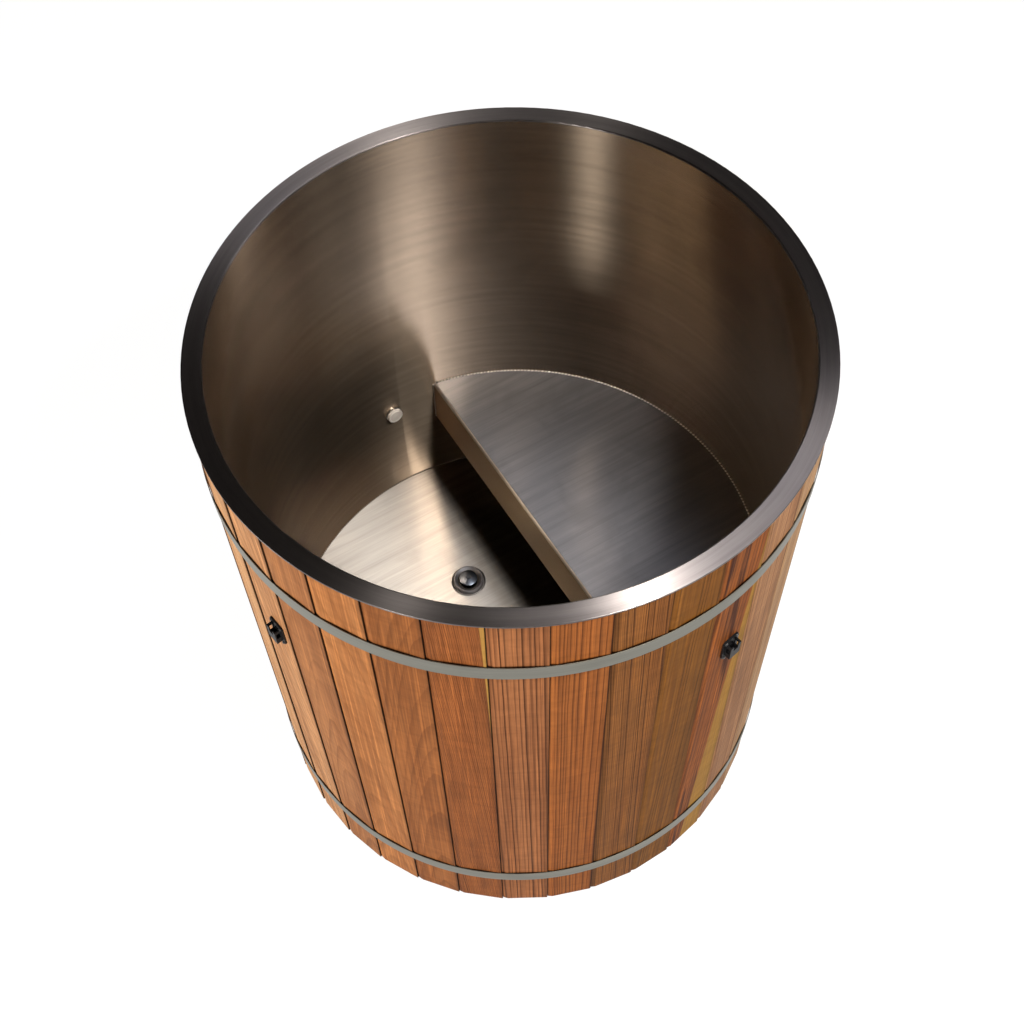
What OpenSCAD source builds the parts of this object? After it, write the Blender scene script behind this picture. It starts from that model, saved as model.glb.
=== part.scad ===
// Cold plunge tub: a round stainless vessel with a seat and a drain, clad in cedar staves that two
// steel bands hold. Z is up, the origin is on the ground at the centre, and the front is towards -Y.

/* [Tub] */
// Outside diameter over the rim
tub_d = 914; // [760:1:1100]
// Height from the ground to the top of the rim
tub_h = 1084; // [980:1:1300]

/* [Vessel] */
// Thickness of the wall and floor sheet
sheet_t = 2; // [1:0.1:3]
// Space between the vessel and the staves, which the insulation fills
wrap_space = 5.4; // [3:0.1:30]
// Height of the vessel floor over the ground
floor_h = 181; // [172:1:230]

/* [Rim] */
// Thickness of the flat rim
rim_t = 3; // [2:0.5:6]
// Rounding of the rim's inner edge
rim_edge_r = 2; // [0.5:0.5:2]
// Rounding of the rim's outer edge
rim_outer_r = 0.6; // [0.2:0.1:0.8]
// Shadow gap between the rim and the tops of the staves
rim_gap = 2; // [0.5:0.5:8]

/* [Bench] */
// Depth from the rim down to the top of the bench
bench_drop = 630; // [500:1:700]
// Distance from the tub's centre line to the front edge of the bench
bench_offset = 73; // [20:1:180]
// Direction in which the bench lies, from +X towards +Y
bench_turn = 30; // [0:1:60]
// Thickness of the bench plate
bench_t = 3; // [2:0.5:5]
// Height of the folded front lip
lip_h = 104; // [40:1:120]
// Outside radius of the fold
lip_bend_r = 6; // [5.5:0.5:12]

/* [Staves] */
// Number of cedar staves
stave_count = 35; // [30:1:35]
// Thickness of a stave
stave_t = 19; // [14:0.5:20]
// How far the corners of the staves lie inside the edge of the rim
stave_setback = 0.8; // [0.5:0.1:6]
// Gap between neighbouring staves
joint_gap = 0.6; // [0.3:0.1:1.2]
// Width of the bevel along one edge of a stave
bevel_w = 9; // [4:0.5:14]
// Depth of that bevel
bevel_depth = 2.5; // [1:0.25:4]
// Small bevel on the other edge
arris = 0.8; // [0.3:0.1:1.5]
// Thickness of the tongue
tongue_t = 5; // [4:0.25:6]
// Length of the tongue
tongue_l = 6; // [4:0.5:8]
// Bevel of the tongue's tip
tongue_tip = 0.8; // [0.4:0.1:1.2]
// Play around the tongue in its groove
groove_play = 0.3; // [0.2:0.05:0.5]

/* [Bands] */
// Height of a band
band_h = 30; // [20:1:40]
// Thickness of a band
band_t = 1.2; // [0.8:0.1:2]
// Gap between the stave corners and a band
band_gap = 0.15; // [0.1:0.05:0.3]
// Depth from the rim to the middle of the upper band
upper_band_drop = 130; // [80:1:240]
// Height of the middle of the lower band over the feet of the staves
lower_band_rise = 127; // [125:1:200]
// Direction in which the ends of the bands meet
band_turn = 108; // [104:1:112]
// Width of the gap between the ends of a band
band_split = 16; // [12:1:24]
// How far the ears at the ends of a band stand out
ear_l = 16; // [14:1:17]
// Thickness of an ear
ear_t = 3; // [2:0.5:4]
// Diameter of the bolt that draws the ears together
band_bolt_d = 6; // [5:0.5:8]

/* [Latches] */
// Directions in which the four cover latches lie
latch_turns = [-140, -48, 44, 136];
// How far each latch sits to the right of the middle of its stave
latch_shifts = [12.5, 5.5, 9, 9];
// Depth from the rim to the middle of a latch
latch_drop = 297; // [220:1:400]
// Width of a latch's base plate
latch_w = 31; // [28:0.5:36]
// Height of the base plate
latch_h = 48; // [44:0.5:60]
// Thickness of the base plate
latch_t = 3; // [2:0.5:4]
// Corner radius of the base plate
latch_corner = 5; // [3:0.5:8]
// Depth of the socket in front of the base plate
socket_depth = 10; // [9:0.5:14]
// Width of the socket
socket_w = 21; // [18:0.5:22]
// Height of the socket
socket_h = 31; // [26:0.5:32]
// Wall of the socket
socket_wall = 2; // [1.5:0.1:2.2]
// Height of the window in each side of the socket
window_h = 13; // [8:0.5:16]
// Depth of that window below the socket's upper edge
window_drop = 6; // [4:0.5:9]
// Height of the slot in the base plate behind the socket
slot_h = 9; // [6:0.5:12]
// Width of the thumb slot in the face of the socket
thumb_w = 9; // [6:0.5:12]
// Depth of the thumb slot below the socket's upper edge
thumb_h = 12; // [6:0.5:18]
// Distance between the latch screws, sideways
screw_dx = 22; // [20:0.5:23]
// Distance between the latch screws, upwards
screw_dz = 40; // [39:0.5:41]
// Diameter of a latch screw
screw_d = 3.2; // [2.5:0.1:3.5]
// Diameter of its head
screw_head_d = 5.6; // [5:0.1:6]
// Length of the screw in the wood
screw_l = 12; // [8:0.5:13]

/* [Drain] */
// Distance from the tub's centre line to the drain
drain_reach = 155; // [120:1:220]
// Direction in which the drain lies and its pipe leaves
drain_turn = 127; // [122:1:130]
// Outside diameter of the drain flange
drain_d = 59; // [56:0.5:62]
// How far the drain flange stands over the floor
drain_rise = 9; // [6:0.5:10]
// Bore of the drain below its seat
throat_d = 30; // [28:0.5:31]
// Wall of the drain's threaded barrel
barrel_wall = 4; // [3:0.5:5]
// Length of the barrel below the floor
barrel_l = 45; // [40:1:50]
// Diameter of the dish pressed into the floor round the drain
dish_d = 69; // [67:0.5:76]
// Depth of that dish
dish_depth = 3; // [2:0.5:4]
// Diameter of the stopper's cap
cap_d = 34; // [33:0.5:36]
// Thickness of the cap at its edge
cap_t = 3; // [2:0.5:4]
// Rise of the cap's dome over its edge
cap_dome = 3.5; // [2:0.5:5]
// Travel of the stopper from open to closed
stopper_travel = 9; // [6:0.5:9]
// Diameter of the stopper's stem
stem_d = 6; // [5:0.5:8]
// Play between the stem and its guide, on the radius
stem_play = 0.06; // [0.04:0.01:0.08]
// Outside diameter of the drain pipe
pipe_d = 33.7; // [30:0.1:34]
// Wall of the drain pipe
pipe_wall = 2; // [1.5:0.1:3]
// Height of the pipe's axis over the ground
pipe_z = 75; // [62:1:80]
// How far the pipe's end stands out of the staves
pipe_out = 38; // [36:1:50]
// Length of the pipe's turned end, which takes a hose or a coupling
spigot_l = 30; // [24:1:30]
// How much smaller that end is than the pipe, on the radius
spigot_step = 0.35; // [0.2:0.05:0.6]

/* [Wall port] */
// Direction in which the port lies
port_turn = 121.8; // [118:0.1:124]
// Depth from the rim to the port
port_drop = 671; // [600:1:760]
// Outside diameter of the port's pipe
port_d = 32; // [28:0.5:33]
// Wall of that pipe
port_wall = 2.5; // [2:0.1:3.5]
// How far the pipe's end stands inside the vessel
port_in = 3; // [2:0.5:5]
// How far the plug's head covers the pipe's end, on the radius
plug_lip = 1; // [0.6:0.1:1.4]
// Thickness of the plug's head
plug_t = 7; // [4:0.5:9]
// How deep the plug reaches into its pipe
plug_l = 14; // [8:0.5:20]
// How far the pipe's end stands out of the staves
port_out = 14; // [8:0.5:20]

/* [Base] */
// Height of the rubber feet
pad_h = 6; // [4:1:10]
// Diameter of a foot
pad_d = 46; // [30:1:50]
// Number of feet
pad_count = 8; // [6:1:12]
// Thickness of the base ring
base_t = 5; // [4:1:8]
// Width of the base ring
base_w = 66; // [60:1:80]
// How far the base ring lies inside the faces of the staves
base_setback = 3; // [1:0.5:8]
// Width of a floor bearer
bearer_w = 40; // [30:1:60]
// Height of a floor bearer
bearer_h = 60; // [40:1:62]
// Wall of a floor bearer
bearer_wall = 3; // [2:0.5:5]
// Distance between floor bearers, centre to centre
bearer_pitch = 190; // [150:1:220]

/* [Hidden] */
// Clearance between pieces that are seated on each other
seat_gap = 0.2;
// Clearance around a pipe or screw that passes through a hole
hole_gap = 0.3;
// Depth by which joined shapes run into each other, and cutters run past a face
lap = 1;
// Thread clearance between a fastener and its hole
thread_gap = 0.1;
// Least gap between parts that move past each other
run_gap = 0.3;

tub_r = tub_d / 2;
floor_z = floor_h;
bench_z = tub_h - bench_drop;
rim_z = tub_h - rim_t;
base_z = pad_h + base_t;

stave_pitch = 360 / stave_count;
half_pitch = stave_pitch / 2;
corner_r = tub_r - stave_setback;
stave_out = corner_r * cos(half_pitch);
stave_in = stave_out - stave_t;
stave_z0 = base_z + seat_gap;
stave_z1 = rim_z - rim_gap;
tongue_s = (stave_in + stave_out) / 2 / cos(half_pitch) - bevel_depth / 2;

wall_r = stave_in - wrap_space;
vessel_r = wall_r - sheet_t;

band_r = corner_r + band_gap;
upper_band_z = tub_h - upper_band_drop;
lower_band_z = stave_z0 + lower_band_rise;
ear_bolt_r = band_r + band_t + ear_l / 2;

latch_z = tub_h - latch_drop;
// The socket sits a little above the middle of its plate
socket_rise = 1;
socket_bottom = socket_rise - socket_h / 2;

drain_x = drain_reach * cos(drain_turn);
drain_y = drain_reach * sin(drain_turn);
barrel_r = throat_d / 2 + barrel_wall;
flange_r = drain_d / 2;
// Play round the stopper's cap in its seat
cap_play = 1.5;
seat_r = cap_d / 2 + cap_play;
cap_z = floor_z + stopper_travel + run_gap;
// The hub that guides the stem, below the floor
hub_drop = 16;
hub_top = floor_z - hub_drop;
hub_h = 8;
gasket_t = 3;
locknut_t = 9;
under_dish_z = floor_z - dish_depth - sheet_t;
gasket_z = under_dish_z - gasket_t;
locknut_z = gasket_z - locknut_t;
barrel_end_z = floor_z - barrel_l;
elbow_socket_r = barrel_r + thread_gap;
elbow_wall = 3.5;
elbow_lap = 14;
elbow_r = pipe_d / 2 + thread_gap + elbow_wall;
elbow_bore_r = pipe_d / 2 - pipe_wall;
elbow_bend = 36;
elbow_reach = 20;
pipe_r = pipe_d / 2;
pipe_start = drain_reach + elbow_bend + seat_gap;
pipe_end = stave_out + pipe_out;

port_z = tub_h - port_drop;
port_r = port_d / 2;
port_bore_r = port_r - port_wall;
port_start = vessel_r - port_in;
port_end = stave_out + port_out;
// How much wider the pipe is where the plug sits in it
plug_step = 0.5;
plug_tip = port_start - seat_gap + plug_l;

pad_ring_r = stave_out - base_setback - base_w / 2;
bearer_z = floor_z - sheet_t - seat_gap - bearer_h;

// Facets: enough for the eye, while bores and turned parts stay true curves
$fn = 96;

function stave_name(i) = str("stave_", i < 10 ? "0" : "", i);
function latch_name(i) = str("latch_", i);
function stave_turn(i) = -90 + (i - 1) * stave_pitch;
// Turn of the stave that lies nearest to a direction
function near_stave(turn) = -90 + round((turn + 90) / stave_pitch) * stave_pitch;
// Smallest angle between two directions
function apart(a, b) = abs((a - b + 540) % 360 - 180);
// Half the width of a stave at a distance from the tub's centre line
function half_w(r) = r * tan(half_pitch) - joint_gap / 2 / cos(half_pitch);
// A point on the joint between two staves: s outwards along it, n away from the stave
function on_joint(s, n, side) =
    [s * cos(half_pitch) - n * sin(half_pitch), side * (s * sin(half_pitch) + n * cos(half_pitch))];

// A round bar that lies level, radially outwards from the centre line
module radial_bar(turn, z, from_r, to_r, r) {
    rotate([0, 0, turn])
        translate([from_r, 0, z])
            rotate([0, 90, 0])
                cylinder(r = r, h = to_r - from_r);
}

module tube(r_out, r_in, h) {
    difference() {
        cylinder(r = r_out, h = h);
        translate([0, 0, -lap]) cylinder(r = r_in, h = h + 2 * lap);
    }
}

// Places its children on the flat face of a latch's stave, X outwards and Y to the right
module on_latch(i) {
    turn = near_stave(latch_turns[i - 1]);
    rotate([0, 0, turn])
        translate([stave_out, latch_shifts[i - 1], latch_z])
            children();
}

// The four screw places on a latch's base plate
module screw_places() {
    for (dy = [-1, 1], dz = [-1, 1])
        translate([0, dy * screw_dx / 2, dz * screw_dz / 2])
            rotate([0, 90, 0])
                children();
}

// Plain outside outline of all the staves together, opened up by a clearance
module stave_outline(gap) {
    r = (stave_out + gap) / cos(half_pitch);
    polygon([for (i = [1 : stave_count])
        [r * cos(stave_turn(i) + half_pitch), r * sin(stave_turn(i) + half_pitch)]]);
}

module vessel_wall() {
    color("silver")
        difference() {
            translate([0, 0, base_z])
                tube(wall_r, vessel_r, rim_z - base_z);
            radial_bar(drain_turn, pipe_z, vessel_r - lap, wall_r + lap, pipe_r + hole_gap);
            radial_bar(port_turn, port_z, vessel_r - lap, wall_r + lap, port_r + seat_gap);
        }
}

module vessel_floor() {
    dish_r = dish_d / 2;
    hole_r = barrel_r + seat_gap;
    // The dish's flat bottom reaches a little past the flange, and its sides keep the sheet's thickness
    flat_r = flange_r + 0.6;
    under = 0.3;
    color("silver") {
        difference() {
            translate([0, 0, floor_z - sheet_t])
                cylinder(r = vessel_r - seat_gap, h = sheet_t);
            translate([drain_x, drain_y, floor_z - sheet_t - lap])
                cylinder(r = dish_r - sheet_t / 2, h = sheet_t + 2 * lap);
        }
        translate([drain_x, drain_y, floor_z])
            rotate_extrude()
                polygon([
                    [hole_r, -dish_depth], [flat_r, -dish_depth], [dish_r, 0],
                    [dish_r + lap, 0], [dish_r + lap, -sheet_t], [dish_r - under, -sheet_t],
                    [flat_r - under, -dish_depth - sheet_t], [hole_r, -dish_depth - sheet_t]
                ]);
    }
}

module rim_flange() {
    color("gray")
        translate([0, 0, rim_z])
            rotate_extrude()
                difference() {
                    union() {
                        translate([vessel_r + rim_edge_r, 0])
                            square([tub_r - vessel_r - rim_edge_r - rim_outer_r, rim_t]);
                        translate([vessel_r, 0])
                            square([rim_edge_r + lap, rim_t - rim_edge_r]);
                        translate([vessel_r + rim_edge_r, rim_t - rim_edge_r])
                            circle(r = rim_edge_r);
                        translate([tub_r - rim_outer_r - lap, 0])
                            square([lap + rim_outer_r, rim_t - rim_outer_r]);
                        translate([tub_r - rim_outer_r, rim_t - rim_outer_r])
                            circle(r = rim_outer_r);
                    }
                    translate([vessel_r - lap, -2 * rim_t])
                        square([tub_r, 2 * rim_t]);
                }
}

// Section of the bench across its front edge: the plate, the fold and the lip
module bench_section() {
    inner_bend = lip_bend_r - bench_t;
    translate([lip_bend_r, -bench_t])
        square([2 * tub_r, bench_t]);
    translate([0, -lip_h])
        square([bench_t, lip_h - lip_bend_r]);
    intersection() {
        translate([lip_bend_r, -lip_bend_r])
            difference() {
                circle(r = lip_bend_r);
                circle(r = inner_bend);
            }
        translate([0, -lip_bend_r])
            square([lip_bend_r, lip_bend_r]);
    }
}

module bench_seat() {
    color("lightgray")
        intersection() {
            translate([0, 0, bench_z])
                rotate([0, 0, bench_turn])
                    translate([bench_offset, vessel_r, 0])
                        rotate([90, 0, 0])
                            linear_extrude(2 * vessel_r)
                                bench_section();
            translate([0, 0, bench_z - lip_h - lap])
                cylinder(r = vessel_r - seat_gap, h = lip_h + 2 * lap);
        }
}

module insulation_wrap() {
    color("lightyellow")
        difference() {
            translate([0, 0, base_z + seat_gap])
                tube(stave_in - hole_gap, wall_r + hole_gap, stave_z1 - base_z - seat_gap);
            radial_bar(drain_turn, pipe_z, vessel_r, stave_out, pipe_r + 3 * hole_gap);
            radial_bar(port_turn, port_z, vessel_r, stave_out, port_r + 3 * hole_gap);
        }
}

module floor_bearers() {
    color("silver")
        intersection() {
            rotate([0, 0, drain_turn])
                for (k = [-1.5 : 1 : 1.5])
                    translate([-vessel_r, k * bearer_pitch - bearer_w / 2, bearer_z])
                        difference() {
                            cube([2 * vessel_r, bearer_w, bearer_h]);
                            translate([-lap, bearer_wall, bearer_wall])
                                cube([
                                    2 * vessel_r + 2 * lap,
                                    bearer_w - 2 * bearer_wall,
                                    bearer_h - 2 * bearer_wall
                                ]);
                        }
            translate([0, 0, bearer_z - lap])
                cylinder(r = vessel_r - seat_gap, h = bearer_h + 2 * lap);
        }
}

module base_ring() {
    outer_r = stave_out - base_setback;
    color("dimgray")
        translate([0, 0, pad_h])
            tube(outer_r, outer_r - base_w, base_t);
}

module foot_pads() {
    chamfer = 1.5;
    color([0.1, 0.1, 0.1])
        for (i = [0 : pad_count - 1])
            rotate([0, 0, (i + 0.5) * 360 / pad_count])
                translate([pad_ring_r, 0, 0])
                    rotate_extrude()
                        polygon([
                            [0, 0], [pad_d / 2 - chamfer, 0], [pad_d / 2, chamfer],
                            [pad_d / 2, pad_h], [0, pad_h]
                        ]);
}

// A steel band round the staves, with an ear at each end for the bolt that draws it tight
module band(z) {
    split_turn = band_split / 2 / band_r * 180 / PI;
    color("gray")
        translate([0, 0, z - band_h / 2])
            difference() {
                union() {
                    rotate([0, 0, band_turn + split_turn])
                        rotate_extrude(angle = 360 - 2 * split_turn)
                            translate([band_r, 0])
                                square([band_t, band_h]);
                    // Each ear starts within the thickness of the band
                    for (side = [-1, 1])
                        rotate([0, 0, band_turn + side * split_turn])
                            translate([band_r + band_t / 2, side > 0 ? 0 : -ear_t, 0])
                                cube([band_t / 2 + ear_l, ear_t, band_h]);
                }
                rotate([0, 0, band_turn])
                    translate([ear_bolt_r, -band_split, band_h / 2])
                        rotate([-90, 0, 0])
                            cylinder(r = band_bolt_d / 2 + thread_gap, h = 2 * band_split);
            }
}

module upper_band() {
    band(upper_band_z);
}

module lower_band() {
    band(lower_band_z);
}

// A hexagon bolt and its nut through the ears of a band, drawn along +Z from under the head
module bolt_and_nut(grip) {
    // Standard proportions of a hexagon head and nut to the thread
    head_share = 0.65;
    nut_share = 0.8;
    hex_share = 0.96;
    head_t = band_bolt_d * head_share;
    nut_t = band_bolt_d * nut_share;
    hex_r = band_bolt_d * hex_share;
    tail = 4;
    translate([0, 0, -head_t])
        cylinder(r = hex_r, h = head_t, $fn = 6);
    cylinder(r = band_bolt_d / 2, h = grip + nut_t + tail);
    translate([0, 0, grip])
        difference() {
            cylinder(r = hex_r, h = nut_t, $fn = 6);
            translate([0, 0, -lap])
                cylinder(r = band_bolt_d / 2 + thread_gap, h = nut_t + 2 * lap);
        }
}

module band_bolts() {
    split_turn = band_split / 2 / band_r * 180 / PI;
    // The ears lie square to their own ends of the band, so the grip is measured at the bolt
    half_grip = ear_bolt_r * sin(split_turn) + ear_t / cos(split_turn) + seat_gap;
    color("silver")
        for (z = [upper_band_z, lower_band_z])
            rotate([0, 0, band_turn])
                translate([ear_bolt_r, -half_grip, z])
                    rotate([-90, 0, 0])
                        bolt_and_nut(2 * half_grip);
}

// Base plate of a latch with rounded corners, X outwards
module latch_plate() {
    dy = latch_w / 2 - latch_corner;
    dz = latch_h / 2 - latch_corner;
    rotate([0, 90, 0])
        linear_extrude(latch_t)
            union() {
                square([2 * dz, latch_w], center = true);
                square([latch_h, 2 * dy], center = true);
                for (a = [-1, 1], b = [-1, 1])
                    translate([a * dz, b * dy])
                        circle(r = latch_corner);
            }
}

// A cover latch: the screwed-on half of a strap buckle, open above for the tongue
module latch(i) {
    socket_floor = 2;
    inner_w = socket_w - 2 * socket_wall;
    inner_depth = socket_depth - socket_wall;
    face = latch_t + socket_depth;
    top = socket_bottom + socket_h;
    // The side windows stand off the base plate
    standoff = 1.6;
    color([0.08, 0.08, 0.09])
        on_latch(i)
            translate([seat_gap, 0, 0])
                difference() {
                    union() {
                        latch_plate();
                        translate([latch_t - lap, -socket_w / 2, socket_bottom])
                            cube([socket_depth + lap, socket_w, socket_h]);
                    }
                    // Pocket for the buckle's tongue
                    translate([latch_t, -inner_w / 2, socket_bottom + socket_floor])
                        cube([inner_depth, inner_w, socket_h - socket_floor + lap]);
                    // Windows in the sides, where the tongue's arms snap out
                    translate([latch_t + standoff, -socket_w, top - window_h - window_drop])
                        cube([inner_depth - standoff, 2 * socket_w, window_h]);
                    // Thumb slot in the face
                    translate([face - socket_wall - lap, -thumb_w / 2, top - thumb_h])
                        cube([socket_wall + 2 * lap, thumb_w, thumb_h + lap]);
                    // Slot in the base plate
                    translate([-lap, -thumb_w / 2, top - thumb_h])
                        cube([latch_t + 2 * lap, thumb_w, slot_h]);
                    translate([-lap, 0, 0])
                        screw_places()
                            cylinder(r = screw_d / 2 + thread_gap, h = latch_t + 2 * lap);
                }
}

module latch_screws() {
    head_h = 2;
    head_taper = 0.8;
    color("black")
        for (i = [1 : len(latch_turns)])
            on_latch(i)
                translate([seat_gap, 0, 0])
                    screw_places() {
                        translate([0, 0, latch_t - screw_l])
                            cylinder(r = screw_d / 2, h = screw_l);
                        translate([0, 0, latch_t])
                            cylinder(
                                r1 = screw_head_d / 2,
                                r2 = screw_head_d / 2 - head_taper,
                                h = head_h
                            );
                    }
}

module port_socket() {
    color("silver")
        difference() {
            radial_bar(port_turn, port_z, port_start, port_end, port_r);
            radial_bar(port_turn, port_z, port_start - lap, port_end + lap, port_bore_r);
            radial_bar(port_turn, port_z, port_start - lap, plug_tip + seat_gap, port_bore_r + plug_step);
        }
}

// A plug with a slightly domed head and a raised rim, pushed in from inside the tub
module port_plug() {
    head_r = port_bore_r + plug_step + plug_lip;
    rim_w = 2.5;
    dish = 1;
    edge = 1;
    crown_r = head_r / 3;
    crown = 0.3;
    spigot_r = port_bore_r + plug_step - thread_gap;
    color([0.7, 0.68, 0.65])
        rotate([0, 0, port_turn])
            translate([port_start - seat_gap, 0, port_z])
                rotate([0, -90, 0])
                    rotate_extrude()
                        polygon([
                            [0, -plug_l], [spigot_r, -plug_l], [spigot_r, 0], [head_r, 0],
                            [head_r, plug_t - edge], [head_r - edge, plug_t], [head_r - rim_w, plug_t],
                            [head_r - rim_w - dish, plug_t - dish], [crown_r, plug_t],
                            [0, plug_t + crown]
                        ]);
}

module drain_flange() {
    arm_w = 3;
    arm_h = 5;
    arm_count = 3;
    hub_wall = 3;
    hub_r = stem_d / 2 + hub_wall;
    edge = 1.5;
    // The flange falls inwards in two steps to the flat seat, whose inner edge is broken
    fall_w = 3;
    fall_h = 0.45 * drain_rise;
    throat_edge = 1;
    color([0.35, 0.35, 0.38])
        translate([drain_x, drain_y, 0]) {
            difference() {
                union() {
                    translate([0, 0, floor_z])
                        rotate_extrude()
                            polygon([
                                [throat_d / 2, -barrel_l], [barrel_r, -barrel_l],
                                [barrel_r, -dish_depth], [flange_r, -dish_depth],
                                [flange_r, drain_rise - edge], [flange_r - edge, drain_rise],
                                [flange_r - 2 * edge, drain_rise],
                                [seat_r + fall_w, drain_rise - fall_h], [seat_r, -run_gap],
                                [throat_d / 2 + throat_edge, -run_gap],
                                [throat_d / 2, -run_gap - throat_edge]
                            ]);
                    translate([0, 0, hub_top - hub_h])
                        cylinder(r = hub_r, h = hub_h);
                    // The arms start inside the hub and end inside the barrel's wall
                    for (i = [0 : arm_count - 1])
                        rotate([0, 0, (i + 0.5) * 360 / arm_count])
                            translate([hub_r - lap, -arm_w / 2, hub_top - hub_h + lap])
                                cube([throat_d / 2 + lap - hub_r + lap, arm_w, arm_h]);
                }
                translate([0, 0, hub_top - hub_h - lap])
                    cylinder(r = stem_d / 2 + stem_play, h = hub_h + 2 * lap);
            }
        }
}

module drain_stopper() {
    cap_r = cap_d / 2;
    cap_edge = 1;
    knob_r = 5;
    knob_h = 1.2;
    knob_taper = 0.6;
    foot_w = 2;
    foot_r = stem_d / 2 + foot_w;
    foot_h = 3;
    // Crown of the cap: an arc through its edge and its top
    arc_r = (cap_r * cap_r + cap_dome * cap_dome) / (2 * cap_dome);
    steps = 12;
    color([0.3, 0.3, 0.33])
        translate([drain_x, drain_y, 0]) {
            translate([0, 0, cap_z])
                rotate_extrude()
                    polygon(concat(
                        [[0, 0], [cap_r - cap_edge, 0], [cap_r, cap_edge]],
                        [for (k = [0 : steps])
                            let (x = cap_r - (cap_r - knob_r) * k / steps)
                            [x, cap_t + sqrt(arc_r * arc_r - x * x) - arc_r + cap_dome]],
                        [[knob_r - knob_taper, cap_t + cap_dome + knob_h],
                         [0, cap_t + cap_dome + knob_h]]
                    ));
            translate([0, 0, hub_top - hub_h - run_gap - foot_h])
                cylinder(r = stem_d / 2, h = cap_z + lap - hub_top + hub_h + run_gap + foot_h);
            translate([0, 0, hub_top - hub_h - run_gap - foot_h])
                cylinder(r = foot_r, h = foot_h);
        }
}

module drain_gasket() {
    gasket_setback = 2;
    color([0.12, 0.12, 0.12])
        translate([drain_x, drain_y, gasket_z])
            tube(flange_r - gasket_setback, barrel_r + thread_gap, gasket_t);
}

module drain_locknut() {
    color("silver")
        translate([drain_x, drain_y, locknut_z])
            difference() {
                cylinder(r = flange_r, h = locknut_t, $fn = 6);
                translate([0, 0, -lap])
                    cylinder(r = barrel_r + thread_gap, h = locknut_t + 2 * lap);
            }
}

// An elbow that takes the drain's barrel above and the drain pipe at its side
module drain_elbow() {
    top_z = barrel_end_z + elbow_lap;
    bend_z = pipe_z + elbow_bend;
    color([0.2, 0.2, 0.22])
        rotate([0, 0, drain_turn])
            translate([drain_reach, 0, 0])
                difference() {
                    union() {
                        translate([0, 0, bend_z])
                            cylinder(r = elbow_r, h = top_z - bend_z);
                        translate([0, 0, barrel_end_z - elbow_wall])
                            cylinder(r = elbow_socket_r + elbow_wall, h = elbow_lap + elbow_wall);
                        translate([elbow_bend, 0, bend_z])
                            rotate([90, 0, 0])
                                rotate([0, 0, 180])
                                    rotate_extrude(angle = 90)
                                        translate([elbow_bend, 0])
                                            circle(r = elbow_r);
                        translate([elbow_bend, 0, pipe_z])
                            rotate([0, 90, 0])
                                cylinder(r = elbow_r, h = elbow_reach);
                    }
                    translate([0, 0, bend_z])
                        cylinder(r = elbow_bore_r, h = top_z - bend_z + lap);
                    translate([0, 0, barrel_end_z - seat_gap])
                        cylinder(r = elbow_socket_r, h = elbow_lap + seat_gap + lap);
                    translate([elbow_bend, 0, bend_z])
                        rotate([90, 0, 0])
                            rotate([0, 0, 180])
                                rotate_extrude(angle = 90)
                                    translate([elbow_bend, 0])
                                        circle(r = elbow_bore_r);
                    translate([elbow_bend, 0, pipe_z])
                        rotate([0, 90, 0])
                            cylinder(r = pipe_r + thread_gap, h = elbow_reach + lap);
                }
}

// The drain pipe, with a short taper down to its turned end
module drain_pipe() {
    taper = 1;
    bore_r = pipe_r - pipe_wall;
    spigot_r = pipe_r - spigot_step;
    spigot_start = pipe_end - spigot_l;
    color("silver")
        rotate([0, 0, drain_turn])
            translate([0, 0, pipe_z])
                rotate([0, 90, 0])
                    rotate_extrude()
                        polygon([
                            [bore_r, pipe_start], [pipe_r, pipe_start],
                            [pipe_r, spigot_start - taper], [spigot_r, spigot_start],
                            [spigot_r, pipe_end], [bore_r, pipe_end]
                        ]);
}

// A collar round a pipe where it leaves the staves, shaped to sit on them
module collar(turn, z, r) {
    collar_w = 9;
    collar_t = 3;
    edge = 1.5;
    root_r = stave_out - collar_t;
    rotate([0, 0, turn])
        translate([0, 0, z])
            rotate([0, 90, 0])
                rotate_extrude()
                    polygon([
                        [r + seat_gap, root_r], [r + collar_w, root_r],
                        [r + collar_w, corner_r + collar_t - edge],
                        [r + collar_w - edge, corner_r + collar_t],
                        [r + seat_gap, corner_r + collar_t]
                    ]);
}

module pipe_collars() {
    color("gray")
        difference() {
            union() {
                collar(drain_turn, pipe_z, pipe_r);
                collar(port_turn, port_z, port_r);
            }
            linear_extrude(tub_h)
                stave_outline(seat_gap);
        }
}

// Section of one stave, X outwards: a tongue on its right, a groove and a bevel on its left
module stave_section() {
    s1 = tongue_s - tongue_t / 2;
    s2 = tongue_s + tongue_t / 2;
    side = -joint_gap / 2;
    groove_l = tongue_l + groove_play;
    polygon([
        [stave_in, half_w(stave_in)],
        on_joint(s1, side, 1),
        on_joint(s1, tongue_l - tongue_tip, 1),
        on_joint(s1 + tongue_tip, tongue_l, 1),
        on_joint(s2 - tongue_tip, tongue_l, 1),
        on_joint(s2, tongue_l - tongue_tip, 1),
        on_joint(s2, side, 1),
        [stave_out - arris, half_w(stave_out - arris)],
        [stave_out, half_w(stave_out) - arris],
        [stave_out, bevel_w - half_w(stave_out)],
        [stave_out - bevel_depth, -half_w(stave_out - bevel_depth)],
        on_joint(s2 + groove_play, side, -1),
        on_joint(s2 + groove_play, -groove_l, -1),
        on_joint(s1 - groove_play, -groove_l, -1),
        on_joint(s1 - groove_play, side, -1),
        [stave_in, -half_w(stave_in)]
    ]);
}

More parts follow.
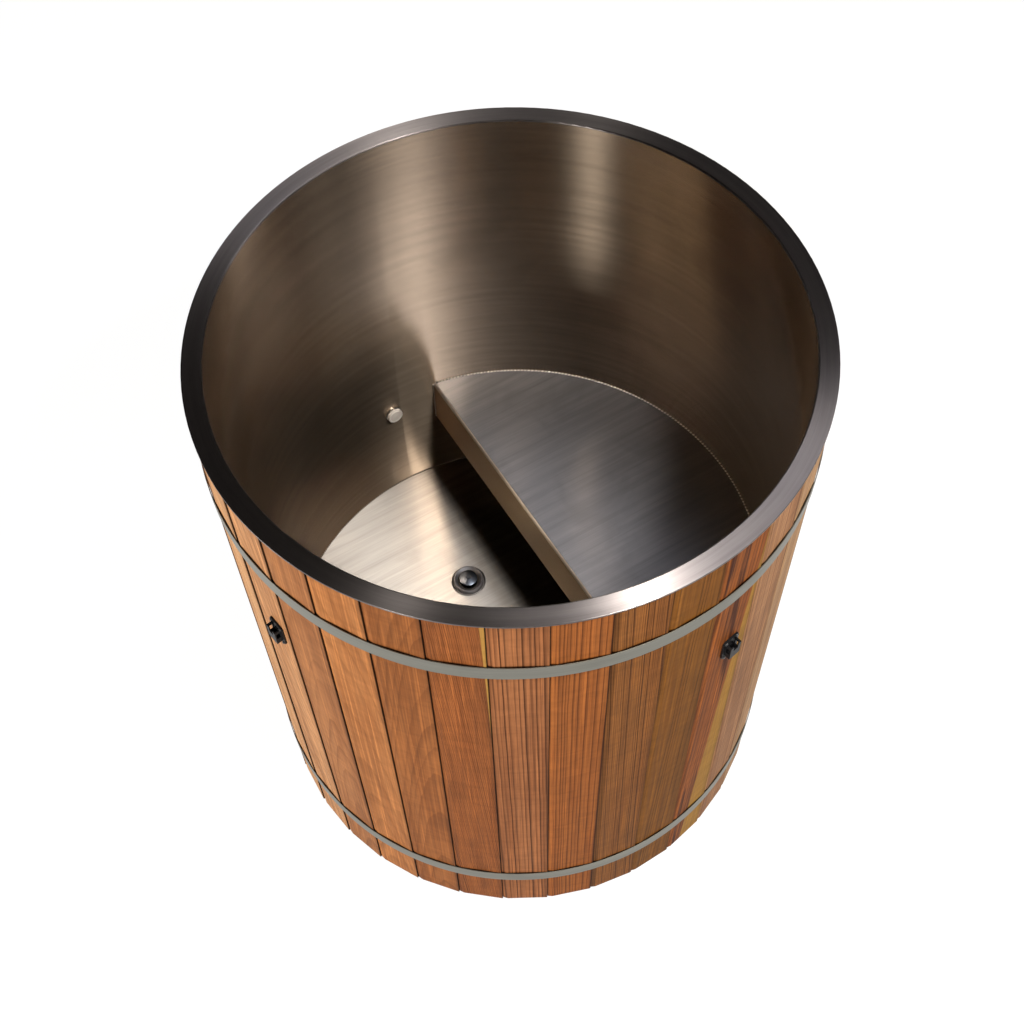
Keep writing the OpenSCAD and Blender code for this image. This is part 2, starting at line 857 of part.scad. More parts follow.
module stave(i) {
    turn = stave_turn(i);
    // A pipe meets this stave if it runs within half a stave and its own width of the stave's middle
    drain_here = apart(turn, drain_turn) < stave_pitch;
    port_here = apart(turn, port_turn) < stave_pitch;
    color([0.66, 0.38, 0.22])
        difference() {
            translate([0, 0, stave_z0])
                rotate([0, 0, turn])
                    linear_extrude(stave_z1 - stave_z0)
                        stave_section();
            if (drain_here)
                radial_bar(drain_turn, pipe_z, stave_in - lap, tub_r + lap, pipe_r + hole_gap);
            if (port_here)
                radial_bar(port_turn, port_z, stave_in - lap, tub_r + lap, port_r + hole_gap);
            for (k = [1 : len(latch_turns)])
                if (apart(turn, near_stave(latch_turns[k - 1])) < 1)
                    on_latch(k)
                        screw_places()
                            translate([0, 0, -screw_l])
                                cylinder(r = screw_d / 2 + thread_gap, h = screw_l + lap);
        }
}

vessel_wall();
vessel_floor();
rim_flange();
bench_seat();
insulation_wrap();
floor_bearers();
base_ring();
foot_pads();
upper_band();
lower_band();
band_bolts();
for (i = [1 : len(latch_turns)]) latch(i);
latch_screws();
port_socket();
port_plug();
drain_flange();
drain_stopper();
drain_gasket();
drain_locknut();
drain_elbow();
drain_pipe();
pipe_collars();
for (i = [1 : stave_count]) stave(i);
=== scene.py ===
"""Looks of the cold plunge tub: cedar staves, brushed steel, welds, camera and light."""
import math
import random
from dataclasses import dataclass

import bpy
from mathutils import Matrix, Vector


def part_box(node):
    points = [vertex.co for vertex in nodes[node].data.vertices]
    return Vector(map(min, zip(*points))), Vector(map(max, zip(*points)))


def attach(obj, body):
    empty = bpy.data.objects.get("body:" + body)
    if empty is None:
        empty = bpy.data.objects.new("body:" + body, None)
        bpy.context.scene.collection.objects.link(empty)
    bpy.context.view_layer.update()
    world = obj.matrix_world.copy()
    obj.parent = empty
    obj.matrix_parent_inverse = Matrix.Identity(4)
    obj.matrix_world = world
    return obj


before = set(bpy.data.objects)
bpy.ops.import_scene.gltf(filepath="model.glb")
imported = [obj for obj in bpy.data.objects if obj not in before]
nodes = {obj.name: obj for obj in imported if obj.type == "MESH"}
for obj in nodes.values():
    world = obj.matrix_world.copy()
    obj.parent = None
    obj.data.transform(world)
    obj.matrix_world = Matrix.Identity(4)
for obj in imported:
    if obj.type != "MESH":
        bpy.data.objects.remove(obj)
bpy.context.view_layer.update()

# Sizes that the part's source sets, in metres and degrees
SHEET = 0.002
BENCH_OFFSET = 0.073
BENCH_TURN = 30
FRONT = -90

# Sizes that the frame gives, in metres
VESSEL_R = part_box("vessel_wall")[1][0] - SHEET
FLOOR_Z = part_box("vessel_floor")[1][2]
LIP_FOOT_Z, BENCH_Z = (corner[2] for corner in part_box("bench_seat"))
BANDS = [[corner[2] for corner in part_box(band)] for band in ("lower_band", "upper_band")]
STAVES = sum(name.startswith("stave_") for name in nodes)
STAVE_PITCH = 360 / STAVES
STAVE_HALF, STAVE_FACE = (-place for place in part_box("stave_01")[0][:2])
stopper_low, stopper_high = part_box("drain_stopper")
DRAIN = ((stopper_low[0] + stopper_high[0]) / 2, (stopper_low[1] + stopper_high[1]) / 2, 0)
DRAIN_CAP_R = (stopper_high[0] - stopper_low[0]) / 2
DRAIN_TOP_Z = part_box("drain_flange")[1][2]

# Where the drain's colour changes, in metres from its middle or up from the flange
DRAIN_LAND = 0.0215
LAND_FADE = 0.0008
# Painted shadow round the foot of the stopper's cap, in metres from its edge
CAP_SHADOW = (-0.001, 0.0035)
CAP_FOOT = (0.0001, 0.0005)

# Where a stave's colour changes, in metres across it, in from its edge or away from a band
# The next three widths are of painted shade: at the joints, along each board's right edge, and beside the
# bands
JOINT_SHADE = 0.0009
# Bounds of the bevel, which takes painted light and shade
BEVEL_LINE = (-0.0330, -0.0312)
SIDE_SHADE = 0.009
BAND_FADE = 0.004
SAP_FADE = 0.0012
SAP_RAGGED = 0.004
WOOD_SEED = 35

# Weld beads, in metres
BEAD_SIDES = 8
BEAD_STEP = 0.0032
BENCH_BEAD = 0.0017
FLOOR_BEAD = 0.0013
LIP_BEAD = 0.0016
BEAD_SINK = 0.0004
BEAD_LIFT = 0.0002
LIP_BEAD_SINK = 0.001
LIP_BEAD_GAP = 0.002
LIP_BEAD_STEP = 0.003
BEAD_RIPPLE = 0.00035
BENCH_RIPPLE = 0.0065
FLOOR_RIPPLE = 0.005

# Studio: metres, degrees, millimetres of lens, and the colours of the lamps
CAMERA_PLACE = (0.0, -1.3039, 2.6932)
CAMERA_TURN = (32.2393, 0.9458, -1.3274)
CAMERA_LENS = 51.883
CAMERA_SENSOR = 36
STUDIO_WIDTH = 24
STUDIO_FLOOR_Z = -0.0005
CEILING_WIDTH = 80
CEILING_Z = 4.6
WARM = (1.0, 0.95, 0.88)
WARMER = (1.0, 0.94, 0.86)
COOL = (0.97, 0.96, 1.0)


def srgb(red, green, blue):
    """A colour of 0 to 255 as the eye reads it, for a linear colour socket."""
    def linear(value):
        value /= 255
        return value / 12.92 if value <= 0.04045 else ((value + 0.055) / 1.055) ** 2.4
    return (linear(red), linear(green), linear(blue), 1)


# Calls that build node trees

def join(tree, socket, value):
    """Links an output to the socket, or sets the socket to a plain value."""
    if isinstance(value, bpy.types.NodeSocket):
        tree.links.new(value, socket)
    else:
        socket.default_value = value


def add(tree, kind, values=None, out=0, **settings):
    """A new shader node with its settings and inputs, as the output that is asked for."""
    node = tree.nodes.new("ShaderNode" + kind)
    for key, value in settings.items():
        setattr(node, key, value)
    for key, value in (values or {}).items():
        join(tree, node.inputs[key], value)
    return node.outputs[out]


def calc(tree, operation, a, b=0.0, c=0.0):
    return add(tree, "Math", {0: a, 1: b, 2: c}, operation=operation)


def vector(tree, operation, a, b=(0, 0, 0), out=0):
    return add(tree, "VectorMath", {0: a, 1: b}, out, operation=operation)


def scaled(tree, a, factors):
    return vector(tree, "MULTIPLY", a, factors)


def blend(tree, share, a, b, how="MIX"):
    """Two colours mixed."""
    return add(tree, "Mix", {0: share, 6: a, 7: b}, 2, data_type="RGBA", blend_type=how)


def between(tree, share, low, high):
    """A number between low and high, as share goes from 0 to 1."""
    return add(tree, "MapRange", {"Value": share, "To Min": low, "To Max": high})


def step(tree, value, start, end):
    """0 below start and 1 above end, with a smooth rise between."""
    values = {"Value": value, "From Min": start, "From Max": end}
    return add(tree, "MapRange", values, interpolation_type="SMOOTHSTEP")


def noise(tree, place, scale=1.0, detail=2.0, rough=0.5, swirl=0.0):
    values = {"Vector": place, "Scale": scale, "Detail": detail, "Roughness": rough}
    values["Distortion"] = swirl
    return add(tree, "TexNoise", values)


def parts(tree, place):
    node = tree.nodes.new("ShaderNodeSeparateXYZ")
    join(tree, node.inputs[0], place)
    return node.outputs


def combined(tree, x=0.0, y=0.0, z=0.0):
    return add(tree, "CombineXYZ", {0: x, 1: y, 2: z})


def new_group(name, inputs, outputs):
    """An empty node group with named sockets, as (group, its inputs, call that fills an output)."""
    group = bpy.data.node_groups.new(name, "ShaderNodeTree")
    for title, kind in inputs:
        group.interface.new_socket(name=title, in_out="INPUT", socket_type="NodeSocket" + kind)
    for title, kind in outputs:
        group.interface.new_socket(name=title, in_out="OUTPUT", socket_type="NodeSocket" + kind)
    given = group.nodes.new("NodeGroupInput").outputs
    result = group.nodes.new("NodeGroupOutput").inputs
    return group, given, lambda title, value: join(group, result[title], value)


def use_group(tree, group, values):
    node = tree.nodes.new("ShaderNodeGroup")
    node.node_tree = group
    for key, value in values.items():
        join(tree, node.inputs[key], value)
    return node.outputs


def new_material(name):
    """A material with one Principled shader, as (material, tree, shader inputs, Object coordinates)."""
    material = bpy.data.materials.new(name)
    material.use_nodes = True
    tree = material.node_tree
    tree.nodes.clear()
    shader = tree.nodes.new("ShaderNodeBsdfPrincipled")
    result = tree.nodes.new("ShaderNodeOutputMaterial")
    tree.links.new(shader.outputs[0], result.inputs["Surface"])
    place = add(tree, "TexCoord", out="Object")
    return material, tree, shader.inputs, place


def bump(tree, height, strength, distance):
    values = {"Height": height, "Strength": strength, "Distance": distance}
    return add(tree, "Bump", values)


def dress(material, *names):
    """Gives CAD nodes their material in every slot."""
    for name in names:
        for slot in nodes[name].material_slots:
            slot.material = material


# Shared surface effects

def cedar_grain():
    """Growth rings, fibres and figure of a board. Place is in the board's own frame, in metres."""
    group, given, give = new_group(
        "CedarGrain",
        [("Place", "Vector"), ("Pith Across", "Float"), ("Pith Behind", "Float"),
         ("Lean", "Float"), ("Taper", "Float"), ("Ring Width", "Float"), ("Wander", "Float"),
         ("Seed", "Float")],
        [("Late", "Float"), ("Fibre", "Float"), ("Tone", "Float"), ("Streak", "Float"),
         ("Figure", "Float"), ("Relief", "Float")],
    )
    seed = combined(group, given["Seed"], given["Seed"], given["Seed"])
    place = vector(group, "ADD", given["Place"], seed)
    x, y, z = parts(group, given["Place"])
    # Distance from the tree's middle, which leans along the board, and a slow and a quick wander
    across = calc(group, "SUBTRACT", y, given["Pith Across"])
    across = calc(group, "MULTIPLY_ADD", z, given["Lean"], across)
    behind = calc(group, "SUBTRACT", x, given["Pith Behind"])
    behind = calc(group, "MULTIPLY_ADD", z, given["Taper"], behind)
    reach = vector(group, "LENGTH", combined(group, across, behind), out="Value")
    slow = noise(group, scaled(group, place, (9, 9, 1.6)), 1, 2, 0.5)
    slow = calc(group, "MULTIPLY", calc(group, "SUBTRACT", slow, 0.5), given["Wander"])
    quick = calc(group, "SUBTRACT", noise(group, scaled(group, place, (70, 70, 11)), 1, 2, 0.5), 0.5)
    reach = calc(group, "ADD", reach, calc(group, "MULTIPLY_ADD", quick, 0.0016, slow))
    rings = calc(group, "DIVIDE", reach, given["Ring Width"])
    # Years differ in width and in the depth of their dark wood
    years = noise(group, combined(group, calc(group, "MULTIPLY", rings, 0.31), given["Seed"]), 1, 2, 0.6)
    rings = calc(group, "MULTIPLY_ADD", years, 3.2, rings)
    year = combined(group, calc(group, "MULTIPLY", calc(group, "FLOOR", rings), 0.77), given["Seed"])
    depth = step(group, noise(group, year, 1, 1, 0.5), 0.30, 0.62)
    share = calc(group, "FRACT", rings)
    rise = calc(group, "POWER", step(group, share, 0.30, 0.92), 1.8)
    fall = calc(group, "SUBTRACT", 1.0, step(group, share, 0.94, 1.0))
    late = calc(group, "MULTIPLY", calc(group, "MULTIPLY", rise, fall), between(group, depth, 0.3, 1.0))
    fibre = noise(group, scaled(group, place, (430, 430, 6)), 1, 3, 0.7)
    tone = noise(group, scaled(group, place, (30, 30, 2.2)), 1, 3, 0.55, 0.4)
    streak = noise(group, scaled(group, place, (190, 190, 1.8)), 1, 3, 0.65)
    figure = noise(group, scaled(group, place, (16, 16, 52)), 1, 2, 0.55, 1.0)
    relief = calc(group, "MULTIPLY_ADD", late, 0.6, calc(group, "MULTIPLY", fibre, 0.5))
    for title, value in (("Late", late), ("Fibre", fibre), ("Tone", tone), ("Streak", streak),
                         ("Figure", figure), ("Relief", relief)):
        give(title, value)
    return group


def brush_marks():
    """Lines that a belt leaves in sheet metal. Place has Z across the lines, in metres."""
    group, given, give = new_group(
        "BrushMarks",
        [("Place", "Vector"), ("Fineness", "Float")],
        [("Lines", "Float"), ("Bands", "Float"), ("Cloud", "Float"), ("Relief", "Float")],
    )
    stretch = combined(group, 9, 9, given["Fineness"])
    lines = noise(group, vector(group, "MULTIPLY", given["Place"], stretch), 1, 3, 0.7)
    bands = noise(group, scaled(group, given["Place"], (2.5, 2.5, 85)), 1, 3, 0.6)
    cloud = noise(group, given["Place"], 7, 4, 0.55, 0.6)
    relief = calc(group, "MULTIPLY_ADD", lines, 0.7, calc(group, "MULTIPLY", bands, 0.3))
    for title, value in (("Lines", lines), ("Bands", bands), ("Cloud", cloud), ("Relief", relief)):
        give(title, value)
    return group


GRAIN = cedar_grain()
BRUSH = brush_marks()


# Cedar

@dataclass
class Board:
    """The wood of one stave: colours as the eye reads them, lengths in metres.

    ring is the width of a year, pith the place of the tree's middle across and behind the face,
    lean and taper its shift up the board, and wander how far the rings stray. The bevel factor
    is painted light and shade on the bevel along the left edge, sap the place and slope of the
    sapwood's edge, and late and stain are the strengths of the dark rings and the dark streaks."""
    light: tuple
    dark: tuple
    ring: float = 0.005
    pith: tuple = (0.05, -0.09)
    lean: float = 0.0
    taper: float = 0.0
    wander: float = 0.010
    strip: float = 1.0
    sap: tuple = (1.0, 0.0)
    sap_tone: tuple = (206, 158, 82)
    late: float = 0.6
    stain: float = 0.0


# The boards that the front shows, counted to the right from the one at the front
FRONT_BOARDS = {
    -7: Board((213, 150, 95), (160, 100, 56), 0.0050, (0.02, -0.16), 0.03, 0.02, late=0.6),
    -6: Board((206, 158, 112), (156, 107, 66), 0.0060, (0.09, -0.10), -0.02, 0.03, late=0.6),
    -5: Board((193, 143, 100), (138, 90, 54), 0.0046, (-0.03, -0.12), 0.04, 0.04, 0.014, late=0.6),
    -4: Board((165, 112, 71), (111, 66, 38), 0.0060, (0.03, -0.07), 0.03, 0.05, 0.016, late=0.45),
    -3: Board((178, 119, 71), (121, 73, 38), 0.0070, (-0.01, -0.06), 0.03, 0.06, 0.018, late=0.4),
    -2: Board((152, 96, 54), (100, 57, 29), 0.0065, (0.02, -0.06), -0.03, 0.05, 0.016, late=0.4),
    -1: Board((159, 97, 53), (87, 45, 22), 0.0026, (-0.20, -0.08), 0.06, 0.0, 0.008, 1.0,
              (0.0542, -0.021), late=0.9, stain=0.45),
    0: Board((161, 105, 67), (64, 33, 17), 0.0074, (0.24, -0.06), 0.01, 0.0, 0.006, late=0.95),
    1: Board((162, 98, 49), (84, 43, 20), 0.0060, (0.20, -0.05), 0.00, 0.0, 0.008, 1.25, late=0.9,
             stain=0.2),
    2: Board((149, 97, 50), (74, 42, 20), 0.0030, (0.22, -0.06), 0.02, 0.0, 0.006, 0.62, late=1.0,
             stain=0.3),
    3: Board((132, 86, 34), (78, 46, 16), 0.0060, (-0.12, -0.08), -0.03, 0.0, 0.010, 1.1, late=0.8,
             stain=0.4),
    4: Board((150, 88, 41), (72, 37, 16), 0.0070, (0.10, -0.07), -0.04, 0.0, 0.012, 1.1,
             (-0.012, 0.045), (166, 124, 56), late=0.8, stain=0.9),
    5: Board((166, 122, 86), (108, 71, 46), 0.0040, (0.16, -0.09), 0.03, 0.0, 0.008, late=0.8),
    6: Board((174, 137, 99), (124, 88, 58), 0.0050, (0.08, -0.10), 0.02, late=0.8),
    7: Board((195, 149, 103), (142, 99, 62), 0.0050, (-0.06, -0.10), 0.02),
}


def drawn_board(chance):
    """A board of the side that the photo doesn't show."""
    glow = chance.uniform(0.86, 1.12)
    return Board(
        tuple(c * glow for c in (166, 104, 60)), tuple(c * glow for c in (106, 58, 30)),
        chance.uniform(0.003, 0.008), (chance.uniform(-0.14, 0.14), chance.uniform(-0.12, -0.05)),
        chance.uniform(-0.04, 0.04), chance.uniform(0.0, 0.05))


def tinted(colour, factors):
    return tuple(c * f for c, f in zip(colour[:3], factors)) + (1,)


def cedar_board(name, turn, board, seed):
    """One stave's own wood, seen in the stave's frame: X out, Y across to the right, Z up."""
    material, tree, shader, place = new_material(name)
    own = add(tree, "VectorRotate", {"Vector": place, "Angle": math.radians(-turn)},
              rotation_type="Z_AXIS")
    marks = use_group(tree, GRAIN, {
        "Place": own, "Pith Across": board.pith[0], "Pith Behind": STAVE_FACE + board.pith[1],
        "Lean": board.lean, "Taper": board.taper, "Ring Width": board.ring,
        "Wander": board.wander, "Seed": seed,
    })
    light, dark = srgb(*board.light), srgb(*board.dark)
    colour = blend(tree, step(tree, marks["Tone"], 0.35, 0.68), tinted(light, (0.74, 0.68, 0.64)), light)
    colour = blend(tree, step(tree, marks["Streak"], 0.46, 0.72), colour, tinted(light, (1.24, 1.20, 1.12)))
    colour = blend(tree, calc(tree, "MULTIPLY", marks["Late"], board.late), colour, dark)
    streaky = calc(tree, "MULTIPLY_ADD", marks["Tone"], 0.6, calc(tree, "MULTIPLY", marks["Streak"], 0.4))
    stained = calc(tree, "MULTIPLY", step(tree, streaky, 0.49, 0.60), board.stain)
    colour = blend(tree, stained, colour, tinted(dark, (0.62, 0.50, 0.62)))
    # Sapwood lies beyond a ragged line that runs slantwise up the board
    y, z = parts(tree, own)[1:]
    edge = calc(tree, "MULTIPLY_ADD", z, board.sap[1], board.sap[0])
    ragged = calc(tree, "MULTIPLY_ADD", marks["Streak"], SAP_RAGGED, edge)
    sap = step(tree, calc(tree, "SUBTRACT", y, ragged), -SAP_FADE, SAP_FADE)
    pale = srgb(*board.sap_tone)
    colour = blend(tree, sap, colour, blend(tree, marks["Streak"], tinted(pale, (0.8, 0.74, 0.66)), pale))
    fine = between(tree, marks["Fibre"], 0.40, 1.60)
    shimmer = between(tree, marks["Figure"], 0.78, 1.24)
    # Painted light and shade on the bevel along the left edge, set per board
    bevel = calc(tree, "SUBTRACT", 1.0, step(tree, y, *BEVEL_LINE))
    bevel = between(tree, bevel, 1.0, board.strip)
    # Painted shade darkens the joints and the last strip along each board's right edge, and painted shadow
    # lies behind and beside the bands
    joint_shade = step(tree, calc(tree, "ABSOLUTE", y), STAVE_HALF - JOINT_SHADE, STAVE_HALF)
    joint_shade = between(tree, joint_shade, 1.0, 0.12)
    # Painted shade along the last strip of each board's right edge
    side = between(tree, step(tree, y, STAVE_HALF - SIDE_SHADE, STAVE_HALF), 1.0, 0.72)
    shade = calc(tree, "MULTIPLY", calc(tree, "MULTIPLY", fine, shimmer), bevel)
    shade = calc(tree, "MULTIPLY", shade, calc(tree, "MULTIPLY", joint_shade, side))
    # Painted shadow of the bands on the wood behind them and just past their edges
    for low, high in BANDS:
        near = step(tree, z, low - BAND_FADE, low), step(tree, z, high, high + BAND_FADE)
        behind = between(tree, calc(tree, "SUBTRACT", *near), 1.0, 0.12)
        shade = calc(tree, "MULTIPLY", shade, behind)
    colour = blend(tree, 1.0, colour, combined(tree, shade, shade, shade), "MULTIPLY")
    join(tree, shader["Base Color"], colour)
    join(tree, shader["Roughness"], between(tree, marks["Fibre"], 0.45, 0.65))
    join(tree, shader["Normal"], bump(tree, marks["Relief"], 0.35, 0.0006))
    shader["Specular IOR Level"].default_value = 0.03
    return material


def dress_staves():
    """Each stave's own wood, from the front board round to the right."""
    chance = random.Random(WOOD_SEED)
    for number in range(1, STAVES + 1):
        # Past the middle of the back, boards count down to the left of the front one
        count = (number - 1 + STAVES // 2) % STAVES - STAVES // 2
        drawn = drawn_board(chance)
        board = FRONT_BOARDS.get(count, drawn)
        turn = FRONT + (number - 1) * STAVE_PITCH
        material = cedar_board("cedar_%02d" % number, turn, board, chance.uniform(0, 90))
        dress(material, "stave_%02d" % number)


# Metals

def brushed_steel(name, colour, rough, stretch, lines, across, fineness=420, spots=0.5, edge=None,
                  fold_highlight=None, depth=0.00005):
    """Brushed sheet. lines turns Object coordinates so that Z runs across the brush lines, and
    across gives the direction in which the lines spread a reflection. edge tints the upright
    faces of a level sheet as painted light and shade, the fold colour is a painted highlight
    along its bends, spots is the strength of the smudges, and depth is that of the brush lines."""
    material, tree, shader, place = new_material(name)
    marks = use_group(tree, BRUSH, {"Place": lines(tree, place), "Fineness": fineness})
    pale = tuple(min(1.0, c * 1.45) for c in colour) + (1,)
    dull = tuple(c * 0.55 for c in colour) + (1,)
    streaky = calc(tree, "MULTIPLY_ADD", marks["Bands"], 0.6, calc(tree, "MULTIPLY", marks["Lines"], 0.4))
    base = blend(tree, streaky, dull, pale)
    smudge = tuple(c * 0.72 for c in colour) + (1,)
    smears = calc(tree, "MULTIPLY", step(tree, marks["Cloud"], 0.5, 0.75), spots)
    base = blend(tree, smears, base, smudge)
    # Painted light and shade on upright faces: the bench's lip lit warm, the rim's outer edge shaded
    if edge:
        facing = parts(tree, add(tree, "NewGeometry", out="Normal"))["Z"]
        base = blend(tree, step(tree, facing, 0.90, 0.995), tinted(colour, edge), base)
    # Painted highlight along the bends
    if fold_highlight:
        bent = calc(tree, "SUBTRACT", step(tree, facing, 0.10, 0.30), step(tree, facing, 0.93, 0.99))
        base = blend(tree, bent, base, fold_highlight)
    join(tree, shader["Base Color"], base)
    worn = calc(tree, "MULTIPLY_ADD", marks["Cloud"], 0.5, calc(tree, "MULTIPLY", marks["Bands"], 0.5))
    join(tree, shader["Roughness"], between(tree, worn, rough[0], rough[1]))
    join(tree, shader["Normal"], bump(tree, marks["Relief"], 1.0, depth))
    join(tree, shader["Tangent"], across(tree, place))
    shader["Metallic"].default_value = 1
    shader["Anisotropic"].default_value = stretch
    return material


def upright_lines(tree, place):
    """Brush lines level round the tub's axis, on upright faces."""
    return place


def ring_lines(tree, place):
    """Brush lines round the tub's axis, on level faces: Z becomes the distance from the axis."""
    x, y = parts(tree, place)[:2]
    reach = vector(tree, "LENGTH", combined(tree, x, y), out="Value")
    return combined(tree, x, y, reach)


def sheet_lines(tree, place):
    """Brush lines along the direction in which the bench lies."""
    turned = add(tree, "VectorRotate", {"Vector": place, "Angle": math.radians(-BENCH_TURN)},
                 rotation_type="Z_AXIS")
    x, y, z = parts(tree, turned)
    return combined(tree, x, z, y)


def away_from_round(tree, place):
    """Across lines that run round the tub's axis, in the plane of the face."""
    around = vector(tree, "CROSS_PRODUCT", (0, 0, 1), place)
    return vector(tree, "CROSS_PRODUCT", add(tree, "NewGeometry", out="Normal"), around)


def away_from_sheet(tree, place):
    """Across lines that run along the bench's direction."""
    turn = math.radians(BENCH_TURN)
    along = (math.cos(turn), math.sin(turn), 0.0)
    return vector(tree, "CROSS_PRODUCT", (0, 0, 1), along)


def plain_metal(name, colour, rough, marks=0.15):
    """Bright or dull metal with a faint mottle and fine scuffs."""
    material, tree, shader, place = new_material(name)
    mottle = noise(tree, place, 60, 3, 0.6)
    scuffs = noise(tree, scaled(tree, place, (900, 900, 160)), 1, 2, 0.6)
    worn = calc(tree, "MULTIPLY_ADD", mottle, 0.6, calc(tree, "MULTIPLY", scuffs, 0.4))
    pale = tuple(min(1.0, c * (1 + marks)) for c in colour) + (1,)
    dull = tuple(c * (1 - marks) for c in colour) + (1,)
    join(tree, shader["Base Color"], blend(tree, worn, dull, pale))
    join(tree, shader["Roughness"], between(tree, worn, rough * 0.75, rough * 1.25))
    join(tree, shader["Normal"], bump(tree, scuffs, 0.05, 0.0003))
    shader["Metallic"].default_value = 1
    return material


def moulded(name, colour, rough, grain=900, strength=0.15, gloss=0.5):
    """Moulded plastic, rubber or foam: a fine skin with a slight mottle."""
    material, tree, shader, place = new_material(name)
    skin = noise(tree, place, grain, 2, 0.6)
    mottle = noise(tree, place, 30, 3, 0.5)
    pale = tuple(min(1.0, c * 1.18 + 0.004) for c in colour) + (1,)
    dull = tuple(c * 0.82 for c in colour) + (1,)
    join(tree, shader["Base Color"], blend(tree, mottle, dull, pale))
    join(tree, shader["Roughness"], between(tree, skin, rough - 0.08, rough + 0.08))
    join(tree, shader["Normal"], bump(tree, skin, strength, 0.0003))
    shader["Specular IOR Level"].default_value = gloss
    return material


def drain_chrome():
    """Dark chrome, with a dull ring inside the flange and painted shadow below the stopper's cap."""
    material, tree, shader, place = new_material("dark_chrome")
    x, y, z = parts(tree, vector(tree, "SUBTRACT", place, DRAIN))
    reach = vector(tree, "LENGTH", combined(tree, x, y), out="Value")
    mottle = noise(tree, place, 90, 3, 0.6)
    flange = step(tree, reach, DRAIN_LAND - LAND_FADE, DRAIN_LAND + LAND_FADE)
    cap = step(tree, z, *(DRAIN_TOP_Z + rise for rise in CAP_FOOT))
    # Painted shadow: near black under and round the stopper's cap
    cap_shadow = step(tree, reach, *(DRAIN_CAP_R + width for width in CAP_SHADOW))
    ring = blend(tree, cap_shadow, (0.01, 0.01, 0.012, 1), (0.34, 0.31, 0.27, 1))
    base = blend(tree, mottle, (0.24, 0.24, 0.26, 1), (0.34, 0.34, 0.37, 1))
    base = blend(tree, flange, ring, base)
    join(tree, shader["Base Color"], blend(tree, cap, base, (0.13, 0.15, 0.19, 1)))
    dull = between(tree, mottle, 0.42, 0.55)
    shiny = between(tree, mottle, 0.30, 0.42)
    rough = add(tree, "Mix", {0: cap, 2: dull, 3: shiny}, data_type="FLOAT")
    join(tree, shader["Roughness"], rough)
    join(tree, shader["Normal"], bump(tree, mottle, 0.05, 0.0003))
    shader["Metallic"].default_value = 1
    return material


def dress_metals():
    # The wall, bench, floor, rim and bands are one stainless steel; their different colours are lit and
    # shaded copies of it, painted light and shade for the reflections each one catches
    wall = brushed_steel("steel_wall", (0.47, 0.375, 0.285), (0.22, 0.29), 1.0, upright_lines,
                         away_from_round, fineness=1500, spots=0.45, depth=0.00007)
    # The bench's upright tint is painted light on its lip, and its fold colour a painted highlight on its
    # bend
    bench = brushed_steel("steel_bench", (0.26, 0.26, 0.28), (0.36, 0.44), 0.65, sheet_lines,
                          away_from_sheet, edge=(1.6, 1.3, 0.85), fold_highlight=(0.95, 0.92, 0.88, 1))
    floor = brushed_steel("steel_floor", (0.40, 0.375, 0.35), (0.28, 0.36), 1.0, sheet_lines,
                          away_from_sheet)
    # The rim's upright tint is painted shade on its outer edge
    rim = brushed_steel("steel_rim", (0.37, 0.335, 0.33), (0.32, 0.40), 0.94, ring_lines,
                        away_from_round, fineness=900, spots=0.2, edge=(0.4, 0.4, 0.4))
    band = brushed_steel("steel_band", (0.22, 0.215, 0.185), (0.40, 0.52), 0.4, upright_lines,
                         away_from_round, fineness=600)
    dress(wall, "vessel_wall")
    dress(bench, "bench_seat")
    dress(floor, "vessel_floor")
    dress(rim, "rim_flange")
    dress(band, "upper_band", "lower_band")
    dress(plain_metal("steel_frame", (0.50, 0.50, 0.50), 0.45), "floor_bearers", "base_ring")
    dress(plain_metal("steel_pipe", (0.56, 0.56, 0.56), 0.30),
          "drain_pipe", "port_socket", "pipe_collars")
    dress(plain_metal("steel_bolts", (0.60, 0.60, 0.60), 0.25), "band_bolts", "drain_locknut")
    dress(drain_chrome(), "drain_flange", "drain_stopper")


def dress_mouldings():
    black = moulded("black_nylon", (0.006, 0.006, 0.007), 0.45, gloss=0.12)
    dress(black, "latch_1", "latch_2", "latch_3", "latch_4", "drain_elbow")
    dress(moulded("black_screws", (0.02, 0.02, 0.022), 0.40), "latch_screws")
    dress(moulded("grey_plug", (0.66, 0.62, 0.58), 0.50), "port_plug")
    dress(moulded("black_rubber", (0.03, 0.03, 0.03), 0.75), "foot_pads", "drain_gasket")
    dress(moulded("pale_foam", (0.62, 0.60, 0.54), 0.85, 350, 0.6), "insulation_wrap")


# Welds

def bare_selection():
    bpy.ops.object.select_all(action="DESELECT")


def finish_bead(bead, material, seed):
    """Ripples a bead, smooths it and lets it ride on the tub."""
    bpy.ops.object.mode_set(mode="EDIT")
    bpy.ops.mesh.select_all(action="SELECT")
    bpy.ops.transform.vertex_random(offset=BEAD_RIPPLE, seed=seed)
    bpy.ops.mesh.fill_holes(sides=0)
    bpy.ops.mesh.normals_make_consistent(inside=False)
    bpy.ops.object.mode_set(mode="OBJECT")
    bpy.ops.object.shade_smooth()
    bpy.ops.object.transform_apply(location=True, rotation=True, scale=True)
    bead.data.materials.append(material)
    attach(bead, "tub")


